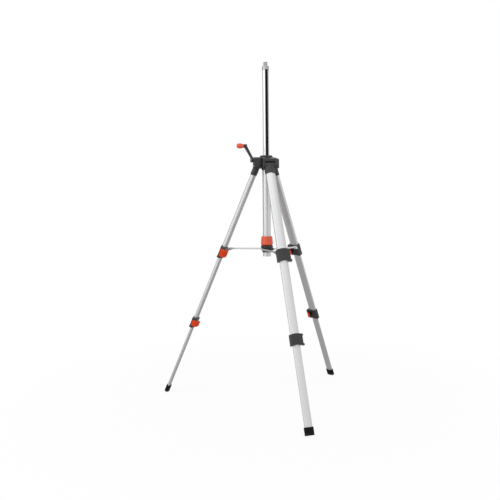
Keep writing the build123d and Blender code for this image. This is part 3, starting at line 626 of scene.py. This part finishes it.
class TRIPOD_OT_levers(Operator):
    """Makes the six flip levers"""

    bl_idname = "tripod.levers"
    bl_label = "Flip Levers"

    def execute(self, context):
        finishes, details = context.scene.tripod_finishes, context.scene.tripod_details
        # The levers' darker orange is partly painted shade
        orange = moulded(
            "orange plastic", tuple(finishes.orange), spread=0.12, roughness=0.36, grain=1500.0, gloss=0.14,
            worn=tuple(finishes.rubbed_orange),
        )
        for side in SIDES:
            for level in LEVELS:
                node = f"{side}_{level}_lever"
                rings, wear = lever_rings(side, node, details)
                make_piece(
                    f"{node}_tab",
                    [skin(out_of_leg(side, rings))],
                    orange,
                    body_of_node[node],
                    [node],
                    wear=np.append(wear, (0.0, 1.0)),
                )
        return {"FINISHED"}


def lever_rings(side, node, details):
    """Lever: a rounded oblong section carried from the pin along the flank, round a circle arc and along the tail.

    With s along the path and b the angle turned so far, the centre is the pin plus (-R (1 - cos b) - t sin c,
    -run - R sin b - t cos c), where R is the arc's radius, c its whole angle and t the way along the tail. The section
    is a superellipse of half thickness by half height, closed in a half circle at each end. Ribs stand on the tail's
    outer side, and the lower edge is drawn up at 45 degrees towards the tip.
    """
    rows, columns, squareness, end_share = 96, 40, 7, 0.03
    low, high = leg_box(side, node)
    arc = LEVER_CURL_RADIUS * LEVER_CURL
    whole = LEVER_RUN + arc + LEVER_TAIL
    reach = np.linspace(-LEVER_HALF, whole + LEVER_HALF, rows)
    turn = np.clip((reach - LEVER_RUN) / LEVER_CURL_RADIUS, 0, LEVER_CURL)
    beyond = np.clip(reach - LEVER_RUN - arc, 0, None)
    centre = np.stack(
        [
            high[0] - LEVER_HALF - LEVER_CURL_RADIUS * (1 - np.cos(turn)) - beyond * np.sin(LEVER_CURL),
            high[1] - LEVER_HALF
            - np.minimum(reach, LEVER_RUN) - LEVER_CURL_RADIUS * np.sin(turn) - beyond * np.cos(LEVER_CURL),
        ],
        axis=-1,
    )
    normal = np.stack([np.cos(turn), -np.sin(turn)], axis=-1)
    past_end = np.clip(np.maximum(-reach, reach - whole) / LEVER_HALF, 0, 1)
    thick = LEVER_HALF * np.sqrt(np.clip(1 - past_end**2, end_share**2, 1))
    grip = np.clip(beyond / LEVER_TAIL, 0, 1)
    rib = details.lever_rib_height * np.sin(np.pi * grip * details.lever_ribs) ** 2
    angle = around(columns)
    wide = np.sign(np.cos(angle)) * np.abs(np.cos(angle)) ** (2 / squareness)
    tall = np.sign(np.sin(angle)) * np.abs(np.sin(angle)) ** (2 / squareness)
    bevel = np.clip(LEVER_BEVEL - (centre[:, 1] - low[1]), 0, LEVER_BEVEL)
    middle = (low[2] + high[2]) / 2
    half = (high[2] - low[2]) / 2
    across = thick[:, None] * wide + rib[:, None] * np.clip(wide, 0, 1)
    rise = np.where(tall > 0, (half - bevel)[:, None] * tall, half * tall)
    place = centre[:, None, :] + across[..., None] * normal[:, None, :]
    rings = np.concatenate([place, (middle + rise)[..., None]], axis=-1)
    edge = np.abs(wide) ** 3 * np.abs(tall) ** 3
    tip = smooth_step(TIP_START, 1.0, reach / whole)
    wear = np.clip(EDGE_WEAR * edge[None, :] + TIP_WEAR * tip[:, None], 0, 1)
    return rings, wear.ravel()


class TRIPOD_OT_feet(Operator):
    """Makes the three grooved rubber feet"""

    bl_idname = "tripod.feet"
    bl_label = "Rubber Feet"

    def execute(self, context):
        finishes, details = context.scene.tripod_finishes, context.scene.tripod_details
        rubber = foot_rubber("black rubber", tuple(finishes.rubber), tuple(finishes.dust), dust_height=0.012)
        for side in SIDES:
            node = f"{side}_foot"
            rings = out_of_leg(side, foot_rings(side, node, details))
            # The sole stands flat on the floor
            rings[..., 2] = np.maximum(rings[..., 2], 0)
            make_piece(
                f"{side}_rubber_foot", [skin(rings)], rubber, body_of_node[node], [node]
            )
        return {"FINISHED"}


# The foot's rounded edge, the stretch of its height with grooves, a groove's half width, and its mouth's wall and depth
FOOT_EDGE = 0.0022
FOOT_GROOVED = (0.32, 0.68)
FOOT_GROOVE_WIDTH = 0.0009
FOOT_WALL = 0.0027
FOOT_MOUTH = 0.004


def foot_rings(side, node, details):
    """Foot: the solid's oval outline carried down the leg, drawn in by grooves, rounded at both ends, closed below.

    Each ring is the outline times (1 - draw / half size), and the draw in each groove is a bell curve of the height.
    """
    edge_rows, wall_rows, columns = 7, 40, 96
    low, high = leg_box(side, node)
    centre = (low[:2] + high[:2]) / 2
    half_size = (high[:2] - low[:2]) / 2
    length = high[2] - low[2]
    turn = np.linspace(0, np.pi / 2, edge_rows)
    wall = np.linspace(FOOT_EDGE / 2, length - FOOT_EDGE, wall_rows)
    lip = FOOT_EDGE / 2 * np.stack([1 - np.sin(turn), 1 - np.cos(turn)], axis=-1)
    sole = np.stack([FOOT_EDGE * (1 - np.cos(turn)), length - FOOT_EDGE + FOOT_EDGE * np.sin(turn)], axis=-1)
    groove = np.linspace(*FOOT_GROOVED, max(details.foot_grooves, 1)) * length
    ripple = np.exp(-(((wall[:, None] - groove) / FOOT_GROOVE_WIDTH) ** 2)).sum(axis=1)
    depth = details.foot_groove_depth if details.foot_grooves else 0.0
    side_wall = np.stack([depth * ripple, wall], axis=-1)
    inner = np.array([[FOOT_WALL, FOOT_MOUTH], [FOOT_WALL, 0.0]])
    shrink = np.linspace(0, 0.9, 6)[1:-1, None]
    flat = np.concatenate(
        [FOOT_EDGE + shrink * (half_size[1] - FOOT_EDGE), np.full_like(shrink, length)], axis=-1
    )
    profile = np.concatenate([inner, lip, side_wall[1:-1], sole, flat])
    angle = around(columns)
    radius = outline_radius(into_leg(side, node_points(node))[:, :2] - centre, angle)
    outline = np.stack([radius * np.cos(angle), radius * np.sin(angle)], axis=-1)
    scale = 1 - profile[:, None, 0:1] / half_size
    place = outline[None, :, :] * scale + centre
    drop = np.broadcast_to(low[2] + profile[:, None, 1:2], (*place.shape[:2], 1))
    return np.concatenate([place, drop], axis=-1)


class TRIPOD_OT_nut(Operator):
    """Makes the fluted clamp nut and colours the crank knob"""

    bl_idname = "tripod.nut"
    bl_label = "Clamp Nut and Knob"

    def execute(self, context):
        finishes, details = context.scene.tripod_finishes, context.scene.tripod_details
        # The brighter grip orange is partly painted highlight
        orange = moulded(
            "glossy orange plastic", tuple(finishes.grips), spread=0.1, roughness=0.28, grain=1500.0, gloss=0.7
        )
        dress(orange, "crank_knob")
        make_piece(
            "fluted_nut",
            [skin(nut_rings(details), closed_ends=False)],
            orange,
            body_of_node["lock_nut"],
            ["lock_nut"],
        )
        return {"FINISHED"}


# Bevel of the nut's lower edge, the height of the rim at each end of its taper, the taper, and the steps of its top
NUT_BEVEL = 0.003
NUT_RIM = 0.008
NUT_TAPER = 0.0016
NUT_SHOULDER = (0.0022, 0.002)
NUT_CROWN = 0.005

# Shares of the nut's height over which its flutes deepen at the bottom and end at the top
FLUTE_START = (0.08, 0.2)
FLUTE_END = (0.95, 0.8)


def nut_rings(details):
    """Nut: a corner-cut ring profile spun upright, its outer face drawn in by cosine flutes that fade at both rims."""
    columns = 168
    points = node_points("lock_nut")
    spread = np.hypot(points[:, 0], points[:, 1])
    low, high = points[:, 2].min(), points[:, 2].max()
    radius, bore = spread.max(), spread.min()
    neck = spread[points[:, 2] < low + 1e-5].min()
    step = points[np.abs(spread - bore) < 1e-4, 2].min()
    profile = np.array(
        [
            (neck, low),
            (radius - NUT_BEVEL, low),
            (radius, low + NUT_BEVEL),
            (radius, low + NUT_RIM),
            (radius - NUT_TAPER, high - NUT_RIM),
            (radius - NUT_SHOULDER[0], high - NUT_SHOULDER[1]),
            (radius - NUT_CROWN, high),
            (bore, high),
            (bore, step),
            (neck, step),
        ]
    )
    profile = corner_cut(profile, rounds=3)
    rings = turned(profile, np.zeros(3), (0, 0, 1), columns)
    height = (profile[:, 1] - low) / (high - low)
    window = smooth_step(*FLUTE_START, height) * smooth_step(*FLUTE_END, height)
    window = window * smooth_step(neck + 0.001, radius - NUT_BEVEL, profile[:, 0])
    flute = details.flute_depth * np.clip(np.cos(around(columns) * details.flute_count), 0, 1) ** 2
    shrink = 1 - window[:, None] * flute / profile[:, :1]
    rings[..., :2] *= shrink[..., None]
    return rings


class TRIPOD_OT_fasteners(Operator):
    """Makes the domed pivot pins and the cross-recess cover screws"""

    bl_idname = "tripod.fasteners"
    bl_label = "Pins and Screws"

    def execute(self, context):
        finishes = context.scene.tripod_finishes
        steel = turned_metal("plated steel", tuple(finishes.steel), roughness=0.32, spacing=900.0)
        dress(steel, "crank_shaft", "knob_axle", "hub_pins")
        blackened = turned_metal("blackened steel", tuple(finishes.blackened), roughness=0.4, spacing=900.0)
        pins = [skin(pin_rings(side)) for side in SIDES]
        make_piece("domed_pivot_pins", pins, blackened, "head", ["leg_pivot_pins"], crease=50.0)
        make_piece(
            "cross_recess_screws", [skin(rings) for rings in screw_rings()], steel, "head",
            ["cover_screws"],
        )
        return {"FINISHED"}


def pin_rings(side):
    """Pin: shank with a domed head at each end; the dome's height is a quarter circle's sine over the head.

    The quarter circle stops just short of the top, where a small ring closes the dome.
    """
    near, rim_height, dome_share, dome_rows, columns = 0.008, 0.0004, 0.98, 10, 32
    local = into_leg(side, node_points("leg_pivot_pins"))
    own = local[np.hypot(local[:, 1], local[:, 2]) < near]
    spread = np.hypot(own[:, 1], own[:, 2])
    head, shank = spread.max(), spread.min()
    outer = own[:, 0].max()
    shoulder = np.sort(np.unique(np.round(own[:, 0], 6)))[-2]
    rim = shoulder + rim_height
    turn = np.linspace(0, dome_share * np.pi / 2, dome_rows)
    dome = np.stack([head * np.cos(turn), rim + (outer - rim) * np.sin(turn)], axis=-1)
    half = np.concatenate([[(shank, 0), (shank, shoulder), (head, shoulder)], dome])
    profile = np.concatenate([half[::-1] * (1, -1), half[1:]])
    pivot, axes = leg_axes(side)
    return turned(profile, pivot, axes[0], columns)


# Heights of the screws' crown and cross recess
SCREW_CROWN = 0.0005
SCREW_RECESS = 0.0009

# Shares of the screw head's radius: the shank, the innermost ring, and where an arm of the cross begins and is deepest
SCREW_SHANK = 0.54
SCREW_MIDDLE = 0.04
CROSS_SIDE = (0.30, 0.18)
CROSS_END = (0.72, 0.60)


def screw_rings():
    """Screw: pan head whose top is sunk by a cross, each arm of which fades at its edges; one skin per screw."""
    top_rows, columns = 16, 48
    points = node_points("cover_screws")
    outer, inner = points[:, 0].min(), points[:, 0].max()
    rim = points[points[:, 0] < outer + 1e-6]
    middle = (rim[:, 1:].min(axis=0) + rim[:, 1:].max(axis=0)) / 2
    shoulder = np.sort(np.unique(np.round(points[:, 0], 6)))[1]
    share = np.concatenate([np.linspace(SCREW_MIDDLE, 1, top_rows), [1, SCREW_SHANK, SCREW_SHANK]])
    crown = SCREW_CROWN * np.linspace(0, 1, top_rows) ** 4
    drop = np.concatenate([crown, np.array([shoulder, shoulder, inner]) - outer])
    on_top = np.arange(len(share)) < top_rows
    angle = around(columns)
    made = []
    for across in (-1, 1):
        for up in (-1, 1):
            own = rim[(np.sign(rim[:, 1] - middle[0]) == across) & (np.sign(rim[:, 2] - middle[1]) == up)][:, 1:]
            centre = (own.min(axis=0) + own.max(axis=0)) / 2
            head = np.ptp(own[:, 0]) / 2
            y, z = share[:, None] * head * np.cos(angle), share[:, None] * head * np.sin(angle)
            arm = smooth_step(*CROSS_SIDE, np.minimum(np.abs(y), np.abs(z)) / head)
            arm = arm * smooth_step(*CROSS_END, np.hypot(y, z) / head)
            sunk = drop[:, None] + SCREW_RECESS * arm * on_top[:, None]
            made.append(np.stack([outer + sunk, centre[0] + y, centre[1] + z], axis=-1))
    return made


class TRIPOD_OT_stage(Operator):
    """Sets up the pale floor, the soft lights, the white room and the camera"""

    bl_idname = "tripod.stage"
    bl_label = "Studio Stage"

    def execute(self, context):
        scene, stage = context.scene, context.scene.tripod_stage
        scene.view_settings.view_transform = "Standard"
        make_floor(stage)
        make_room(scene, stage)
        make_light("key light", stage.key_power, place=(-3.6, -1.0, 1.9), size=3.2)
        make_light("top light", stage.top_power, place=(-0.3, -0.8, 3.4), size=3.6)
        # Painted shade: glowing grey cards, seen only in reflections, darken the metal's back faces and undersides
        make_card("back shade card", stage.back_shade_card, radius=(2.2, 2.2), height=(0.0, 1.9), angles=(5, 140))
        make_card("floor shade card", stage.floor_shade_card, radius=(0.0, 1.6), height=(0.001, 0.001), angles=(0, 360))
        make_camera(scene, stage)
        return {"FINISHED"}


def seen_plainly(wire):
    """1 for camera, glossy and transmission rays, 0 for the rays that carry light."""
    path = wire.node("ShaderNodeLightPath", None, None, "Is Camera Ray")
    outputs = path.socket.node.outputs
    glossy, through = (Wire(wire.tree, outputs[name]) for name in ("Is Glossy Ray", "Is Transmission Ray"))
    return wire.maths("MAXIMUM", wire.maths("MAXIMUM", path, glossy), through)


def make_floor(stage):
    """Pale floor: mostly plain white to the eye, so that only the tripod's soft shadow shows on it."""
    shadow_near, shadow_far = 0.45, 1.4
    half = stage.floor_size / 2
    corners = np.array([(-half, -half, 0), (half, -half, 0), (half, half, 0), (-half, half, 0)])
    mesh = bpy.data.meshes.new("floor")
    mesh.from_pydata(corners, [], [(0, 1, 2, 3)])
    material, wire = new_finish("pale floor")
    coordinates = wire.node("ShaderNodeTexCoord", None, None, "Object")
    away = wire.node("ShaderNodeVectorMath", {"operation": "LENGTH"}, {0: coordinates}, "Value")
    far = wire.node(
        "ShaderNodeMapRange",
        {"interpolation_type": "SMOOTHSTEP"},
        {"Value": away, "From Min": shadow_near, "From Max": shadow_far},
    )
    lit = wire.node("ShaderNodeBsdfDiffuse", None, {"Color": (0.95, 0.95, 0.95, 1.0)})
    plain = wire.node("ShaderNodeEmission", None, {"Color": (1.0, 1.0, 1.0, 1.0), "Strength": 1.0})
    plainness = (stage.floor_plainness + (1 - stage.floor_plainness) * far) * seen_plainly(wire)
    mixed = wire.node("ShaderNodeMixShader", None, {0: plainness, 1: lit, 2: plain})
    wire.node("ShaderNodeOutputMaterial", None, {"Surface": mixed})
    mesh.materials.append(material)
    floor = bpy.data.objects.new("floor", mesh)
    bpy.context.scene.collection.objects.link(floor)


def make_card(name, grey, radius, height, angles):
    """Grey studio card that only the metal's reflections see, a glowing sheet that paints shade into those reflections:
    rings of points of the given radius and height.
    """
    count = 48
    turn = np.radians(np.linspace(*angles, count))
    radius, height = np.array(radius)[:, None], np.array(height)[:, None]
    rings = np.stack([radius * np.cos(turn), radius * np.sin(turn), height + 0 * turn], axis=-1)
    here = np.arange(count - 1)
    quads = np.stack([here, here + 1, here + count + 1, here + count], axis=-1)
    mesh = bpy.data.meshes.new(name)
    mesh.from_pydata(rings.reshape(-1, 3), [], quads.tolist())
    material, wire = new_finish(name)
    plain = wire.node("ShaderNodeEmission", None, {"Color": (grey, grey, grey, 1.0), "Strength": 1.0})
    wire.node("ShaderNodeOutputMaterial", None, {"Surface": plain})
    mesh.materials.append(material)
    card = bpy.data.objects.new(name, mesh)
    card.visible_camera = card.visible_diffuse = card.visible_transmission = card.visible_shadow = False
    bpy.context.scene.collection.objects.link(card)


def make_room(scene, stage):
    """Room: plain white where it is seen or mirrored, and an even soft light elsewhere."""
    world = bpy.data.worlds.new("white room")
    world.use_nodes = True
    world.node_tree.nodes.clear()
    wire = Wire(world.node_tree)
    strength = stage.ambient + (1 - stage.ambient) * seen_plainly(wire)
    background = wire.node("ShaderNodeBackground", None, {"Color": (1.0, 1.0, 1.0, 1.0), "Strength": strength})
    wire.node("ShaderNodeOutputWorld", None, {"Surface": background})
    scene.world = world


def make_light(name, power, place, size):
    """Square soft light aimed at the middle of the tripod."""
    data = bpy.data.lights.new(name, "AREA")
    data.energy, data.size = power, size
    light = bpy.data.objects.new(name, data)
    middle = (cad_box[0] + cad_box[1]) / 2
    light.location = place
    light.rotation_euler = (middle - light.location).to_track_quat("-Z", "Y").to_euler()
    bpy.context.scene.collection.objects.link(light)


def make_camera(scene, stage):
    """Camera at the photograph's place, turned, tilted and rolled as it was held."""
    data = bpy.data.cameras.new("camera")
    data.lens, data.sensor_width = stage.lens, 36.0
    camera = bpy.data.objects.new("camera", data)
    aim = Euler((math.pi / 2 - stage.camera_pitch, 0, -stage.camera_heading)).to_matrix().to_4x4()
    roll = Matrix.Rotation(-stage.camera_roll, 4, "Z")
    camera.matrix_world = Matrix.Translation(stage.camera_place) @ aim @ roll
    scene.collection.objects.link(camera)
    scene.camera = camera


class TRIPOD_PT_panel(Panel):
    """Lists the tripod's steps and their settings"""

    bl_idname = "TRIPOD_PT_panel"
    bl_label = "Laser Level Tripod"
    bl_space_type = "VIEW_3D"
    bl_region_type = "UI"
    bl_category = "Tripod"

    def draw(self, context):
        for operator in OPERATORS:
            self.layout.operator(operator.bl_idname)
        for group in (context.scene.tripod_finishes, context.scene.tripod_details, context.scene.tripod_stage):
            box = self.layout.box()
            for name in group.__annotations__:
                box.prop(group, name)


OPERATORS = (
    TRIPOD_OT_tubes,
    TRIPOD_OT_column,
    TRIPOD_OT_mouldings,
    TRIPOD_OT_levers,
    TRIPOD_OT_feet,
    TRIPOD_OT_nut,
    TRIPOD_OT_fasteners,
    TRIPOD_OT_stage,
)
GROUPS = {"tripod_finishes": TripodFinishes, "tripod_details": TripodDetails, "tripod_stage": TripodStage}


def register():
    for part in (*GROUPS.values(), *OPERATORS, TRIPOD_PT_panel):
        bpy.utils.register_class(part)
    for name, group in GROUPS.items():
        setattr(bpy.types.Scene, name, PointerProperty(type=group))


def unregister():
    for name in GROUPS:
        delattr(bpy.types.Scene, name)
    for part in reversed((*GROUPS.values(), *OPERATORS, TRIPOD_PT_panel)):
        bpy.utils.unregister_class(part)


def main():
    register()
    for operator in OPERATORS:
        family, step = operator.bl_idname.split(".")
        getattr(getattr(bpy.ops, family), step)()


if __name__ == "__main__":
    main()
